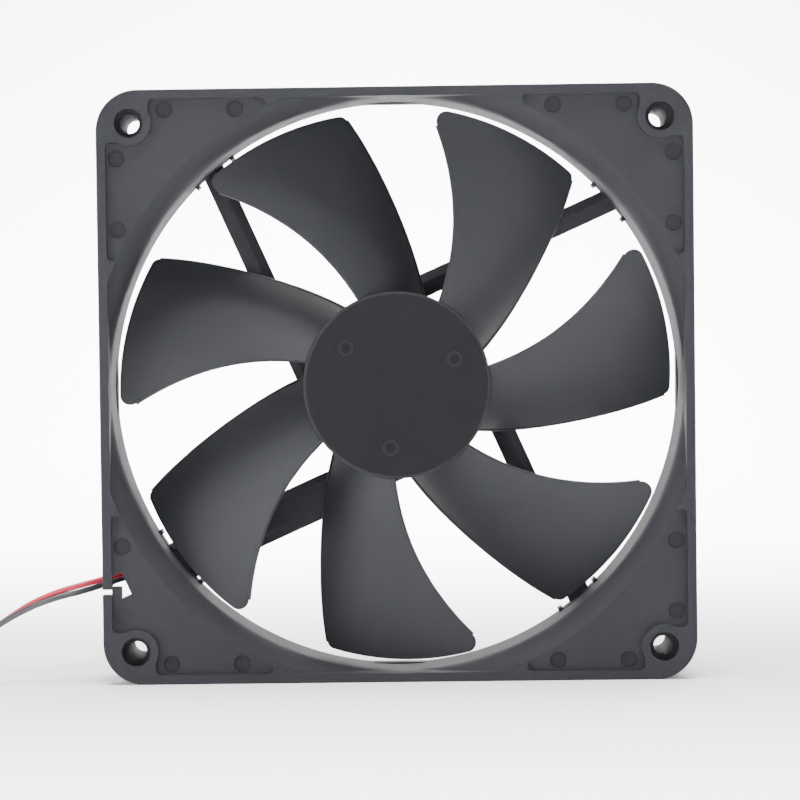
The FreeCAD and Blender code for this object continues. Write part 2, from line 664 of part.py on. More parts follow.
def lead_cuts():
    """Everything cut away for the leads: window, rear slot, and the slit in the border."""
    window = box("window", "-frame_width * 0.7", "-window_end", "-window_outer", "-window_inner",
                 f"{FRONT} - flange_thickness - 0.1", f"{FRONT} + 1")
    slot = box("rear_slot", "-frame_width * 0.7", "-slot_start", "-slot_outer", "-slot_inner",
               f"{REAR} - 1", f"{REAR} + slot_depth")
    lead_in = box("lead_in", "-slot_start - 0.5", "-lead_in_start", "-channel_outer + 0.5",
                  "-channel_inner - 0.2", f"{REAR} - 1", f"{REAR} + lead_in_depth")
    for turned in (window, slot, lead_in):
        turn_about_axis(turned)
    inside = box("inside_border", f"-({INNER_BORDER})", "-50", "-60", "-30",
                 f"{FRONT} - flange_thickness - 0.1", f"{FRONT} + 1")
    limited_window = combined("Part::Common", "limited_window", window, inside)
    slit = box("border_slit", "-frame_width / 2 - 1", f"-({INNER_BORDER}) + 0.5", "-gap_bottom", "-gap_top",
               f"{FRONT} - flange_thickness - 0.1", f"{FRONT} + 1")
    return united("lead_cuts", [limited_window, slot, lead_in, slit])


def turn_about_axis(feature):
    """Turn a box, whose corner is bound to the sheet, into the struts' directions."""
    corner_x = dict(feature.ExpressionEngine)[".Placement.Base.x"]
    corner_y = dict(feature.ExpressionEngine)[".Placement.Base.y"]
    angle = cells("strut_angle")
    feature.setExpression("Placement.Base.x", f"({corner_x}) * cos({angle}) - ({corner_y}) * sin({angle})")
    feature.setExpression("Placement.Base.y", f"({corner_x}) * sin({angle}) + ({corner_y}) * cos({angle})")
    feature.setExpression("Placement.Rotation.Angle", angle)


def rear_lands():
    """Short flats on the ring's inside, at the rear of each side."""
    body = new_body("rear_lands")
    sketch = new_sketch(body, "land", offset=REAR)
    half = "land_length / 2"
    add_rectangle(sketch, "land_offset", "frame_width / 2 - 1", f"-{half}", half)
    land = pad(body, sketch, "flange_thickness")
    polar_pattern(body, [land], "4")
    return body


def frame_housing():
    bell_mouthed = combined("Part::Cut", "bell_mouthed", frame_blank(), flare_cut())
    with_lands = combined("Part::Fuse", "with_lands", bell_mouthed, rear_lands())
    with_spider = combined("Part::Fuse", "with_spider", with_lands, spider())
    opened = combined("Part::Cut", "opened", with_spider, lead_cuts())
    tab = box("retaining_tab", "-tab_outer", "-tab_inner", "-tab_bottom", "-tab_top",
              f"{FRONT} - flange_thickness", f"{FRONT} - recess_depth")
    return keep(combined("Part::Fuse", "frame_housing", opened, tab), "frame_housing", fan_placement())


# ---------------------------------------------------------------- impeller
def add_blade_section(sketch, lead_x, lead_z, trail_x, thickness):
    """Thin bowed section with rounded ends: two long arcs and two short ones."""
    half = f"({thickness}) / 2"
    chord = f"sqrt(({lead_x} - ({trail_x}))^2 + ({lead_z} - blade_trail)^2)"
    bow = f"blade_bow * {chord}"
    add_outline(sketch, [
        (f"{lead_x}", f"{lead_z} - {half}"), (f"{lead_x}", f"{lead_z} + {half}"),
        (f"{trail_x}", f"blade_trail + {half}"), (f"{trail_x}", f"blade_trail - {half}"),
    ], arcs={0: (f"{half} * 1.15", -1), 1: (bow, -1), 2: (f"{half} * 1.15", -1), 3: (bow, 1)})


def add_corner_rounding(sketch, radius, first, last):
    """What lies outside a circle that touches the blade's tip, between two directions from its centre."""
    tip_direction = first if value_of(first) > 0 else last
    reach = f"(blade_tip_radius - {radius})"
    middle_x, middle_y = f"{reach} * cos({tip_direction})", f"{reach} * sin({tip_direction})"

    def place(distance, direction):
        return (f"{middle_x} + {distance} * {radius} * cos({direction})",
                f"{middle_y} + {distance} * {radius} * sin({direction})")

    add_outline(sketch, [
        place(1, first), place(4, first), place(5, f"({first} + {last}) / 2"), place(4, last), place(1, last),
    ], arcs={4: (radius, 1)})


def impeller():
    """Hub cup with seven swept blades."""
    body = new_body("impeller")
    first, last = BLADE_SECTIONS[0][0], BLADE_SECTIONS[-1][0]
    sections = []
    for number, (distance, lead_x, lead_z, trail_x) in enumerate(BLADE_SECTIONS, start=1):
        sketch = new_sketch(body, f"blade_section_{number}", "YZ_Plane", f"{distance}")
        share = (distance - first) / (last - first)
        thickness = f"blade_root_thickness + (blade_tip_thickness - blade_root_thickness) * {share:.3f}"
        add_blade_section(sketch, lead_x, lead_z, trail_x, thickness)
        sections.append(sketch)
    blade = body.newObject("PartDesign::AdditiveLoft", "blade")
    blade.Profile = sections[0]
    blade.Sections = sections[1:]
    body.Tip = blade
    tips = new_sketch(body, "blade_tips", "XZ_Plane")
    add_rectangle(tips, "blade_tip_radius", "120", "-20", "20")
    groove(body, tips)
    for corner in ("lead_corner", "trail_corner"):
        rounding = new_sketch(body, f"{corner}_rounding")
        add_corner_rounding(rounding, f"{corner}_radius", f"{corner}_first", f"{corner}_last")
        pocket(body, rounding)
    pattern = body.newObject("PartDesign::PolarPattern", "blades")
    pattern.TransformMode = "Whole shape"
    pattern.Axis = (origin_feature(body, "Z_Axis"), [""])
    pattern.Angle = 360
    pattern.Occurrences = int(value_of("blade_count"))
    body.Tip = pattern
    doc.recompute()

    hub = new_sketch(body, "hub_disc", offset="hub_rim")
    add_circle(hub, "hub_radius")
    pad(body, hub, "hub_face - hub_rim")
    fillet(body, lambda edge: abs(edge.BoundBox.ZMin - value_of("hub_face")) < 1e-6, "hub_rounding")
    inside = new_sketch(body, "hub_inside", "XZ_Plane")
    add_rectangle(inside, "0", "hub_inner_radius", "hub_rim - 5", "hub_face - hub_wall")
    groove(body, inside)
    boss = new_sketch(body, "shaft_boss", offset="hub_boss_end")
    add_circle(boss, "hub_boss_radius")
    add_circle(boss, "shaft_radius")
    pad(body, boss, "hub_face - hub_wall - hub_boss_end")

    rings = new_sketch(body, "hub_marks", offset="hub_face")
    turn = "(hub_mark_angle - blade_angle)"
    x, y = f"hub_mark_distance * cos({turn})", f"hub_mark_distance * sin({turn})"
    add_circle(rings, "hub_mark_outer", x, y)
    add_circle(rings, "hub_mark_inner", x, y)
    ring_cut = pocket(body, rings, "hub_mark_depth")
    polar_pattern(body, [ring_cut], "3")
    dots = new_sketch(body, "hub_mark_dots", offset="hub_face")
    add_circle(dots, "hub_mark_dot", x, y)
    dot_cut = pocket(body, dots, "hub_mark_depth")
    polar_pattern(body, [dot_cut], "3")
    return keep(body, "impeller", fan_placement(value_of("blade_angle")))


# ---------------------------------------------------------------- rotor pieces on the fan axis
def rotor_pieces():
    yoke = revolved("rotor_yoke", [
        ("yoke_hole_radius", "yoke_front - yoke_wall"), ("yoke_inner_radius", "yoke_front - yoke_wall"),
        ("yoke_inner_radius", "yoke_rim"), ("yoke_radius", "yoke_rim"),
        ("yoke_radius", "yoke_front"), ("yoke_hole_radius", "yoke_front"),
    ])
    keep(yoke, "rotor_yoke", fan_placement())
    magnet = revolved("magnet_ring",
                      ring_profile("magnet_inner_radius", "magnet_radius", "magnet_rear", "magnet_front"))
    keep(magnet, "magnet_ring", fan_placement())
    shaft = revolved("shaft", [
        ("0", "shaft_rear"), ("shaft_radius - 0.2", "shaft_rear"), ("shaft_radius", "shaft_rear + 0.2"),
        ("shaft_radius", "clip_rear"), ("clip_groove_radius", "clip_rear"),
        ("clip_groove_radius", "clip_front"), ("shaft_radius", "clip_front"),
        ("shaft_radius", "shaft_front"), ("0", "shaft_front"),
    ])
    keep(shaft, "shaft", fan_placement())
    clip = revolved("retaining_clip",
                    ring_profile("clip_bore", "clip_radius", "clip_rear + 0.04", "clip_front - 0.04"))
    mouth = new_sketch(clip, "clip_mouth")
    add_rectangle(mouth, "0", "clip_radius + 1", "-0.9", "0.9")
    pocket(clip, mouth)
    keep(clip, "retaining_clip", fan_placement())
    keep(preload_spring(), "preload_spring", fan_placement())


def preload_spring():
    """Two turns of wire between the hub's boss and the front bearing."""
    body = new_body("preload_spring")
    wire = new_sketch(body, "spring_wire", "XZ_Plane")
    add_circle(wire, "spring_wire_radius", "spring_radius", "spring_rear")
    helix = body.newObject("PartDesign::AdditiveHelix", "spring_turns")
    helix.Profile = wire
    helix.ReferenceAxis = (wire, ["V_Axis"])
    helix.Mode = 0
    helix.setExpression("Height", cells("spring_front - spring_rear"))
    helix.setExpression("Pitch", cells("(spring_front - spring_rear) / 2"))
    body.Tip = helix
    doc.recompute()
    return body


# ---------------------------------------------------------------- bearings
def ball_bearing(side):
    """Races, balls, cage and shields of the front or the rear bearing."""
    level = f"{side}_bearing_level"
    low, high = f"{level} - bearing_width / 2", f"{level} + bearing_width / 2"
    reach = "sqrt(race_groove_radius^2 - (ball_pitch_radius - inner_race_radius)^2)"
    inner = revolved(f"{side}_inner_race", [
        ("shaft_radius + 0.01", low), ("inner_race_radius", low), ("inner_race_radius", f"{level} - {reach}"),
        ("inner_race_radius", f"{level} + {reach}"), ("inner_race_radius", high), ("shaft_radius + 0.01", high),
    ], arcs={2: ("race_groove_radius", 1)})
    keep(inner, f"{side}_inner_race", fan_placement())
    reach = "sqrt(race_groove_radius^2 - (outer_race_radius - ball_pitch_radius)^2)"
    outer = revolved(f"{side}_outer_race", [
        ("outer_race_radius", f"{level} - {reach}"), ("outer_race_radius", low), ("bearing_radius - 0.01", low),
        ("bearing_radius - 0.01", high), ("outer_race_radius", high), ("outer_race_radius", f"{level} + {reach}"),
    ], arcs={5: ("race_groove_radius", 1)})
    keep(outer, f"{side}_outer_race", fan_placement())

    count = int(value_of("ball_count"))
    balls = []
    for number in range(count):
        ball = doc.addObject("Part::Sphere", f"{side}_ball_{number + 1}")
        ball.setExpression("Radius", cells("ball_radius"))
        angle = f"360 * {number} / ball_count"
        ball.setExpression("Placement.Base.x", cells(f"ball_pitch_radius * cos({angle})"))
        ball.setExpression("Placement.Base.y", cells(f"ball_pitch_radius * sin({angle})"))
        ball.setExpression("Placement.Base.z", cells(level))
        balls.append(ball)
    keep(united(f"{side}_balls", balls), f"{side}_balls", fan_placement())

    cage = revolved(f"{side}_cage", ring_profile("cage_inner_radius", "cage_outer_radius",
                                                 f"{level} - cage_width / 2", f"{level} + cage_width / 2"))
    hole = new_sketch(cage, f"{side}_cage_hole", "YZ_Plane")
    add_circle(hole, "cage_pocket_radius", "0", level)
    cut = pocket(cage, hole, "5", reverse=True)
    polar_pattern(cage, [cut], "ball_count")
    keep(cage, f"{side}_cage", fan_placement())

    shields = []
    for end in ("-", "+"):
        middle = f"{level} {end} shield_level"
        half = "shield_thickness / 2"
        shields.append(revolved(f"{side}_shield_{'rear' if end == '-' else 'front'}", ring_profile(
            "shield_inner_radius", "outer_race_radius", f"{middle} - {half}", f"{middle} + {half}")))
    keep(united(f"{side}_shields", shields), f"{side}_shields", fan_placement())


def bearing_tube():
    """Brass tube with a seat for a bearing at each end."""
    front_seat = "front_bearing_level - bearing_width / 2"
    rear_seat = "rear_bearing_level + bearing_width / 2"
    tube = revolved("bearing_tube", [
        ("bearing_radius", "tube_rear"), ("tube_radius", "tube_rear"), ("tube_radius", "tube_front"),
        ("bearing_radius", "tube_front"), ("bearing_radius", front_seat), ("tube_step_radius", front_seat),
        ("tube_step_radius", rear_seat), ("bearing_radius", rear_seat),
    ])
    keep(tube, "bearing_tube", fan_placement())


# ---------------------------------------------------------------- stator
def pole_plate(name, low, high, hub, bore, shoe_inner, shoe_outer, neck):
    """Ring round the bearing tube, four necks and four pole shoes, between two levels."""
    body = new_body(name)
    length = f"({high}) - ({low})"
    centre = new_sketch(body, f"{name}_centre", offset=low)
    add_circle(centre, hub)
    pad(body, centre, length)
    arm = new_sketch(body, f"{name}_neck", offset=low)
    add_rectangle(arm, "0", f"({shoe_inner}) + 0.3", f"-({neck}) / 2", f"({neck}) / 2")
    arm_pad = pad(body, arm, length)
    polar_pattern(body, [arm_pad], "4")
    shoes = new_sketch(body, f"{name}_shoes", offset=low)
    add_circle(shoes, shoe_outer)
    add_circle(shoes, shoe_inner)
    pad(body, shoes, length)
    hole = new_sketch(body, f"{name}_bore")
    add_circle(hole, bore)
    pocket(body, hole)
    return body


def pole_gaps(body, name, reach):
    """Cut the ring of pole shoes into four, half way between the poles."""
    gap = new_sketch(body, f"{name}_gap")
    across, out = "(pole_gap / 2 * cos(45))", f"(({reach}) * cos(45))"
    near = "(core_shoe_radius - 1.2) * cos(45)"
    add_outline(gap, [
        (f"{near} + {across}", f"{near} - {across}"), (f"{out} + {across}", f"{out} - {across}"),
        (f"{out} - {across}", f"{out} + {across}"), (f"{near} - {across}", f"{near} + {across}"),
    ])
    cut = pocket(body, gap)
    polar_pattern(body, [cut], "4")


def stator():
    core = pole_plate("stator_core", "core_rear", "core_front", "core_hub_radius", "core_bore",
                      "core_shoe_radius", "core_radius", "neck_width")
    pole_gaps(core, "stator_core", "core_radius + 2")
    keep(core, "stator_core", fan_placement())

    for side, level, direction in (("front", "core_front", 1), ("rear", "core_rear", -1)):
        near = level if direction > 0 else f"{level} - insulator_thickness"
        far = f"{level} + insulator_thickness" if direction > 0 else level
        name = f"{side}_insulator"
        plate = pole_plate(name, near, far, "core_hub_radius + 0.8", "core_bore",
                           "core_shoe_radius - insulator_wall", "core_shoe_radius + 0.4", "insulator_neck")
        walls = new_sketch(plate, f"{name}_walls",
                           offset=level if direction > 0 else f"{level} - insulator_height")
        add_circle(walls, "core_shoe_radius")
        add_circle(walls, "core_shoe_radius - insulator_wall")
        add_circle(walls, "core_hub_radius + 0.8")
        add_circle(walls, "core_hub_radius + 0.2")
        pad(plate, walls, "insulator_height")
        pole_gaps(plate, name, "core_radius + 2")
        keep(plate, name, fan_placement())

    for number in range(4):
        winding = new_body(f"coil_winding_{number + 1}")
        section = new_sketch(winding, f"winding_section_{number + 1}", "YZ_Plane", "coil_start")
        add_rectangle(section, "-coil_half_width", "coil_half_width", "coil_rear", "coil_front")
        pad(winding, section, "coil_length")
        fillet(winding, lambda edge: edge.BoundBox.XLength > 1, "coil_rounding")
        opening = new_sketch(winding, f"winding_opening_{number + 1}", "YZ_Plane")
        add_rectangle(opening, "-coil_inner_half_width", "coil_inner_half_width",
                      "coil_inner_rear", "coil_inner_front")
        pocket(winding, opening)
        keep(winding, f"coil_winding_{number + 1}", fan_placement(90.0 * number))


# ---------------------------------------------------------------- circuit board and label
def electronics():
    board = revolved("circuit_board",
                     ring_profile("board_bore", "board_radius", "board_rear", "board_front"))
    keep(board, "circuit_board", fan_placement())
    chip = new_body("driver_chip")
    outline = new_sketch(chip, "chip_outline", offset="board_front")
    add_rectangle(outline, "10.6", "15.0", "-1.9", "1.9")
    pad(chip, outline, "chip_height")
    keep(chip, "driver_chip", fan_placement(45))

    parts = [box("capacitor", "-2.0", "1.6", "11.2", "13.6", "board_front", "board_front + 1.6"),
             box("diode", "8.6", "10.4", "-10.4", "-7.0", "board_front", "board_front + 1.1"),
             box("resistor", "-9.4", "-7.8", "-10.2", "-9.4", "board_front", "board_front + 0.5"),
             box("second_resistor", "-9.4", "-7.8", "-8.6", "-7.8", "board_front", "board_front + 0.5")]
    keep(united("board_components", parts), "board_components", fan_placement(22.5))

    pins = []
    for number, angle in enumerate((45, 135, 315), start=1):
        pins.append(cylinder(f"terminal_pin_{number}", "pin_radius", f"pin_distance * cos({angle})",
                             f"pin_distance * sin({angle})", "pin_rear", "pin_front"))
    keep(united("terminal_pins", pins), "terminal_pins", fan_placement())

    label_top = f"{REAR} + label_recess_depth"
    label = revolved("rear_label", [
        ("0", f"{label_top} - label_thickness"), ("label_radius", f"{label_top} - label_thickness"),
        ("label_radius", label_top), ("0", label_top),
    ])
    keep(label, "rear_label", fan_placement())


# ---------------------------------------------------------------- leads
def rounded_route(points):
    """Straight runs joined by tangent arcs, each as large as its two runs allow."""
    edges, radii = [], []
    start = points[0]
    for before, corner, after in zip(points, points[1:], points[2:]):
        back, onward = before - corner, after - corner
        turn = math.pi - back.getAngle(onward)
        cut = 0.45 * min(back.Length, onward.Length)
        radii.append(cut / math.tan(turn / 2))
        entry = corner + back.normalize() * cut
        leave = corner + onward.normalize() * cut
        bisector = (entry + leave) / 2 - corner
        reach = radii[-1] / math.cos(turn / 2) - radii[-1]
        middle = corner + bisector.normalize() * reach
        edges.append(Part.LineSegment(start, entry).toShape())
        edges.append(Part.Arc(entry, middle, leave).toShape())
        start = leave
    edges.append(Part.LineSegment(start, points[-1]).toShape())
    return Part.Wire(edges), radii


def lead(label, points, placement=None):
    """Round lead along a route, as one solid; prints its tightest bend and checks its volume."""
    radius = value_of("lead_radius")
    path, radii = rounded_route(points)
    along = (points[1] - points[0]).normalize()
    section = Part.Wire(Part.Circle(points[0], along, radius).toShape())
    solid = path.makePipeShell([section], True, False)
    expected = math.pi * radius ** 2 * path.Length
    print(f"{label}: length {path.Length:.1f}, tightest bend {min(radii):.1f}, "
          f"volume {solid.Volume:.2f} of {expected:.2f}")
    feature = doc.addObject("Part::Feature", label)
    feature.Shape = solid
    keep(feature, label, placement or FreeCAD.Placement())


def leads():
    """Inner runs, free runs and tails of the two leads, with the coils, the tie and the connector."""
    spider_placement = fan_placement(value_of("strut_angle"))
    for colour, inner, free in (("red", RED_INNER_ROUTE, RED_FREE_ROUTE),
                                ("black", BLACK_INNER_ROUTE, BLACK_FREE_ROUTE)):
        inner_points = [FreeCAD.Vector(*place) for place in inner]
        exit_point = spider_placement.multVec(inner_points[-1])
        lead(f"{colour}_lead_inner", inner_points, spider_placement)
        print(f"{colour} lead leaves the frame at {exit_point}")
        layer = 0 if colour == "red" else 1
        lead_radius, mean = value_of("lead_radius"), value_of("coil_mean_outer")
        coil_x, coil_y = value_of("lead_coil_x"), value_of("lead_coil_y")
        bottom = value_of("lead_coil_bottom") + 4 * lead_radius * layer
        coil_entry = FreeCAD.Vector(coil_x + 3.6, coil_y - mean, bottom + lead_radius)
        lead(f"{colour}_lead_free", [exit_point] + [FreeCAD.Vector(*place) for place in free] + [coil_entry])

        level = f"lead_coil_bottom + {4 * layer} * lead_radius"
        coil = doc.addObject("Part::Cut", f"{colour}_coil_cut")
        coil.Base = cylinder(f"{colour}_coil_outer", "coil_mean_outer + lead_radius",
                             "lead_coil_x", "lead_coil_y", level, f"{level} + 4 * lead_radius")
        coil.Tool = cylinder(f"{colour}_coil_inner", "coil_mean_inner - lead_radius",
                             "lead_coil_x", "lead_coil_y", f"{level} - 1", f"{level} + 4 * lead_radius + 1")
        keep(coil, f"{colour}_lead_coil")

        side = -0.5 if colour == "red" else 0.5
        contact_y = value_of("plug_y") + side * value_of("contact_pitch")
        contact_z = value_of("plug_height / 2")
        tail_level = bottom + 3 * lead_radius
        plug_x = value_of("plug_x")
        lead(f"{colour}_lead_tail", [
            FreeCAD.Vector(coil_x + 3.6, coil_y + mean, tail_level),
            FreeCAD.Vector(coil_x + 6.6, coil_y + mean, tail_level),
            FreeCAD.Vector(plug_x - 2.5, contact_y, contact_z),
            FreeCAD.Vector(plug_x + 1.0, contact_y, contact_z),
        ])

    inner, outer = "coil_mean_inner - lead_radius - 0.05", "coil_mean_outer + lead_radius + 0.05"
    half, top = "tie_width / 2", "lead_coil_bottom + 8 * lead_radius"
    band = box("tie_band", f"lead_coil_x - ({outer}) - tie_thickness",
               f"lead_coil_x - ({inner}) + tie_thickness",
               f"lead_coil_y - {half}", f"lead_coil_y + {half}", "lead_coil_bottom - tie_thickness",
               f"{top} + tie_thickness")
    hollow = box("tie_hollow", f"lead_coil_x - ({outer})", f"lead_coil_x - ({inner})",
                 f"lead_coil_y - {half} - 1", f"lead_coil_y + {half} + 1", "lead_coil_bottom", top)
    keep(combined("Part::Cut", "tie_cut", band, hollow), "lead_tie")

    connector()


def connector():
    """Two-way connector: a housing with two cavities and a crimped contact in each."""
    end = "plug_x + plug_length"
    shell = box("plug_shell", "plug_x", end, "plug_y - plug_width / 2", "plug_y + plug_width / 2",
                "0", "plug_height")
    key = box("plug_key", "plug_x + 1.5", f"{end} - 1.0", "plug_y - 1.2", "plug_y + 1.2",
              "plug_height - 0.3", "plug_height + 0.7")
    cavities, contacts = [], []
    for number, side in enumerate(("-", "+"), start=1):
        middle = f"plug_y {side} contact_pitch / 2"
        low, high = f"{middle} - cavity_width / 2", f"{middle} + cavity_width / 2"
        cavities.append(box(f"cavity_{number}", "plug_x - 1", f"{end} + 1", low, high,
                            "plug_height / 2 - cavity_width / 2", "plug_height / 2 + cavity_width / 2"))
        contacts.append(box(f"contact_{number}", "plug_x + 1.0", f"{end} - 0.6",
                            f"{middle} - contact_width / 2", f"{middle} + contact_width / 2",
                            "plug_height / 2 - contact_width / 2", "plug_height / 2 + contact_width / 2"))
    housing = combined("Part::Cut", "connector_body", united("plug_blank", [shell, key]),
                       united("plug_cavities", cavities))
    keep(housing, "connector_housing")
    keep(united("contact_pair", contacts), "connector_contacts")


def export():
    """Check every object, then write one STEP file for each sub-part."""
    doc.recompute()
    for item in doc.Objects:
        if "Invalid" in item.State or "Error" in item.State:
            raise ValueError(f"{item.Name} has failed: {item.State}")
    os.makedirs("parts", exist_ok=True)
    for item in nodes:
        shape = item.Shape
        if shape.isNull() or not shape.isValid() or not shape.Solids:
            raise ValueError(f"{item.Label} has no valid solid")
        shape.exportStep(f"parts/{item.Label}.step")
        print(f"{item.Label}: {len(shape.Solids)} solid, {shape.Volume:.1f} cubic millimetres")


frame_housing()
impeller()
rotor_pieces()
bearing_tube()
for bearing_side in ("front", "rear"):
    ball_bearing(bearing_side)
stator()
electronics()
leads()
export()
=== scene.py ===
import math

import bpy
from mathutils import Matrix, Vector


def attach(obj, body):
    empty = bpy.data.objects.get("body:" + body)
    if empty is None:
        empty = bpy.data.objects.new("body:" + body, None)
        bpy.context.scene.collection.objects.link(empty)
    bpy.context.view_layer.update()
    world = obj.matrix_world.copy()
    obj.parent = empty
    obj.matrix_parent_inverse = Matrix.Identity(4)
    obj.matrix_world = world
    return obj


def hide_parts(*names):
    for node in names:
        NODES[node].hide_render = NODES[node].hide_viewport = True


# Camera, light, finishes and leads of a case fan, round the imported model. Lengths are in metres, but the
# places in the leads' section are in millimetres.
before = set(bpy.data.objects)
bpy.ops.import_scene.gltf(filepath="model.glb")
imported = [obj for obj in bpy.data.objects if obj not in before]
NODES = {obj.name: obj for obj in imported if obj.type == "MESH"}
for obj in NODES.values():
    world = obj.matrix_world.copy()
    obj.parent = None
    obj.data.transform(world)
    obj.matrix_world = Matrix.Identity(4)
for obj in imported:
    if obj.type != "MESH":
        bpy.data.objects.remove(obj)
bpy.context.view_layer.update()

MM = 0.001
AXIS_HEIGHT = 0.070
LEAD_DIAMETER = 1.4 * MM


# ---------------------------------------------------------------- camera, floor and light
def add_camera():
    """A long lens in front of the fan, a little above its middle; the picture is cut off centre."""
    azimuth, elevation, roll = math.radians(0.900), math.radians(2.003), math.radians(-0.731)
    distance = 0.690
    target = Vector((-13.19 * MM, -12.5 * MM, 55.96 * MM))
    towards_camera = Vector((math.sin(azimuth) * math.cos(elevation),
                             -math.cos(azimuth) * math.cos(elevation), math.sin(elevation)))
    data = bpy.data.cameras.new("camera")
    data.lens = 132.12
    data.shift_x = 0.0731
    data.shift_y = 0.0570
    data.sensor_width = 36.0
    data.clip_start = 0.01
    camera = bpy.data.objects.new("camera", data)
    bpy.context.scene.collection.objects.link(camera)
    camera.location = target + towards_camera * distance
    look = (-towards_camera).to_track_quat("-Z", "Y")
    camera.rotation_euler = (look.to_matrix() @ Matrix.Rotation(roll, 3, "Z")).to_euler()
    bpy.context.scene.camera = camera


def add_floor_and_light():
    """Pale floor that sweeps up into a backdrop, soft boxes above, beside, before and behind the fan."""
    sweep_radius, floor_front, floor_back, wall_top = 0.6, -8.0, 0.6, 2.4
    half_width, sweep_steps = 3.0, 12
    profile = [(floor_front, 0.0), (floor_back, 0.0)]
    for step in range(1, sweep_steps + 1):
        angle = math.radians(90 * step / sweep_steps)
        profile.append((floor_back + sweep_radius * math.sin(angle),
                        sweep_radius * (1 - math.cos(angle))))
    profile.append((floor_back + sweep_radius, wall_top))
    mesh = bpy.data.meshes.new("floor")
    verts = [(x, y, z) for y, z in profile for x in (-half_width, half_width)]
    faces = [(2 * i, 2 * i + 1, 2 * i + 3, 2 * i + 2) for i in range(len(profile) - 1)]
    mesh.from_pydata(verts, [], faces)
    mesh.polygons.foreach_set("use_smooth", [True] * len(faces))
    floor = bpy.data.objects.new("floor", mesh)
    bpy.context.scene.collection.objects.link(floor)
    mesh.materials.append(plain_material("floor_paper", (0.93, 0.93, 0.93, 1), 0.9))

    world = bpy.data.worlds.new("studio")
    bpy.context.scene.world = world
    world.use_nodes = True
    background = world.node_tree.nodes["Background"]
    background.inputs["Color"].default_value = (1, 1, 1, 1)
    background.inputs["Strength"].default_value = 0.25

    for name, place, aim, size, power, spread in (
        ("key", (-0.65, -0.28, 0.12), (0, 0, AXIS_HEIGHT), 0.4, 6.5, 180),
        ("fill", (0.60, -0.30, 0.12), (0, 0, AXIS_HEIGHT), 0.4, 2.5, 180),
        ("front", (-0.35, -1.25, 0.45), (0, 0, 0.05), 0.35, 0.8, 60),
        ("table", (0, -0.45, 0.90), (0, -0.45, 0), 0.5, 7.0, 46),
        ("rear", (0.25, 0.80, 0.70), (0, 0, AXIS_HEIGHT), 0.4, 3.0, 180),
        ("top", (0, 0.15, 1.20), (0, 0.15, 0), 0.8, 12.0, 120),
        ("backdrop", (0, 0.10, 0.85), (0, 0.90, 0.0), 0.5, 34.0, 80),
    ):
        data = bpy.data.lights.new(name, "AREA")
        data.shape = "SQUARE"
        data.size = size
        data.energy = power
        data.spread = math.radians(spread)
        lamp = bpy.data.objects.new(name, data)
        bpy.context.scene.collection.objects.link(lamp)
        lamp.location = place
        direction = Vector(aim) - Vector(place)
        lamp.rotation_euler = direction.to_track_quat("-Z", "Y").to_euler()


# ---------------------------------------------------------------- materials
ROUGHNESS_SPREAD = 0.06
# sockets of a Mix node, which has one set for values and one for colours
MIX_SHARE, MIX_UNDER_VALUE, MIX_OVER_VALUE, MIX_UNDER_COLOR, MIX_OVER_COLOR = 0, 2, 3, 6, 7
MIXED_VALUE, MIXED_COLOR = 0, 2

HUB_RADIUS, HUB_RIM_HIGHLIGHT_WIDTH = 22.3 * MM, 0.9 * MM
HUB_MARK_DISTANCE, HUB_MARK_ANGLE = 14.85 * MM, 23.7
HUB_MARK_INNER, HUB_MARK_OUTER = 1.2 * MM, 1.9 * MM
HUB_ROUGHNESS = 0.95
# painted shade: the hub's face is painted darker than the blades of the same plastic
HUB_FACE_SHADE_COLOR = (0.0035, 0.0037, 0.0050)
# painted highlight: a lighter ring along the hub's rim, where its edge catches the light
HUB_RIM_HIGHLIGHT_COLOR = (0.0145, 0.0150, 0.0180)
# painted highlight: a lighter ring round the edge of each of the hub's marks
HUB_MARK_HIGHLIGHT_COLOR = (0.0125, 0.0130, 0.0155)

FRONT_FLANGE_REAR = -5.0 * MM
MARK_NEAR, MARK_FAR, MARK_SIDE = 37.3 * MM, 53.9 * MM, 65.3 * MM
# ejector marks, from the fan axis, and whether each has its three mirror images
FRAME_MARKS = [
    ((MARK_NEAR, MARK_SIDE), True), ((MARK_FAR, MARK_SIDE), True), ((MARK_SIDE, MARK_NEAR), True),
    ((-MARK_SIDE, MARK_FAR), False), ((MARK_SIDE, MARK_FAR), False), ((MARK_SIDE, -MARK_FAR), False),
]
# painted shade on the floor and edge of an ejector mark: colour, inner and outer radius
MARK_SHADE_RINGS = [
    ((0.0080, 0.0084, 0.0115), 0, 1.9 * MM),
    ((0.0040, 0.0042, 0.0058), 1.6 * MM, 2.0 * MM),
]

LABEL_INK = (0.02, 0.02, 0.022)
LABEL_RINGS = [(13.8 * MM, 15.0 * MM), (4.0 * MM, 4.3 * MM)]


def plain_material(name, color, roughness):
    """One even colour, for the floor, which isn't part of the fan."""
    material = bpy.data.materials.new(name)
    material.use_nodes = True
    shader = material.node_tree.nodes["Principled BSDF"]
    shader.inputs["Base Color"].default_value = color
    shader.inputs["Roughness"].default_value = roughness
    return material


def link(tree, out, into):
    tree.links.new(out, into)


